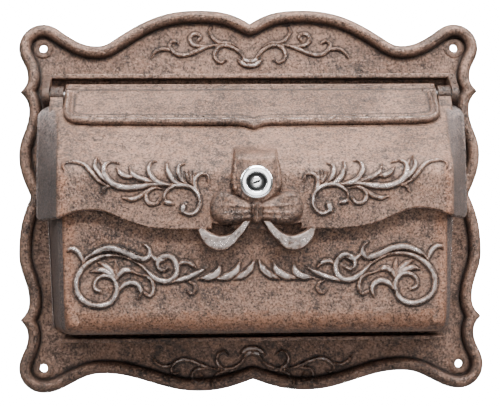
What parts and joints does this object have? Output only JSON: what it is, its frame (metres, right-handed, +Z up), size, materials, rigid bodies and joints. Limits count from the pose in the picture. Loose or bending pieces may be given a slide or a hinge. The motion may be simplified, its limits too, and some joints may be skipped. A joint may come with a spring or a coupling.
{
  "type": "wall mounted mailbox",
  "caption": "Cast iron wall mailbox: scalloped wall plate, drafted box, sloped hinged lid with a bow and a cam lock, and a mail flap on the same hinge pins.",
  "frame": {"origin": "centre of the four wall holes, on the back face that lies against the wall", "axes": "+Y into the wall, +Z up, +X to the right as seen from the front"},
  "size_m": [0.37, 0.0975, 0.305],
  "materials": {
    "plate_iron": "rust-brown patina with a worn, burnished relief",
    "box_iron": "rust-brown patina with a worn, burnished relief",
    "lid_iron": "rust-brown patina with a worn, burnished relief",
    "flap_iron": "rust-brown patina, paler where it faces up",
    "pin_steel": "dull steel",
    "lock_chrome": "polished chrome",
    "plug_steel": "satin steel",
    "zinc_steel": "zinc plated"
  },
  "bodies": {
    "root": {"wall_plate": "plate_iron", "box_shell": "box_iron", "shell_screws": "zinc_steel", "hinge_pin_left": "pin_steel", "hinge_pin_right": "pin_steel"},
    "lid": {"lid": "lid_iron", "lock_housing": "lock_chrome", "lock_washer": "zinc_steel", "lock_nut": "zinc_steel"},
    "flap": {"slot_flap": "flap_iron"},
    "plug": {"lock_plug": "plug_steel", "lock_cam": "zinc_steel", "cam_washer": "zinc_steel", "cam_nut": "zinc_steel"}
  },
  "joints": [
    {"name": "lid_hinge", "type": "hinge", "parent": "root", "child": "lid", "pos_m": [0, -0.025, 0.087], "axis": [-1, 0, 0], "range_deg": [0, 80]},
    {"name": "flap_hinge", "type": "hinge", "parent": "lid", "child": "flap", "pos_m": [0, -0.025, 0.087], "axis": [-1, 0, 0], "range_deg": [0, 60]},
    {"name": "lock_turn", "type": "hinge", "parent": "lid", "child": "plug", "pos_m": [0, -0.093, 0.01363], "axis": [0, 1, 0], "range_deg": [0, 90]}
  ]
}
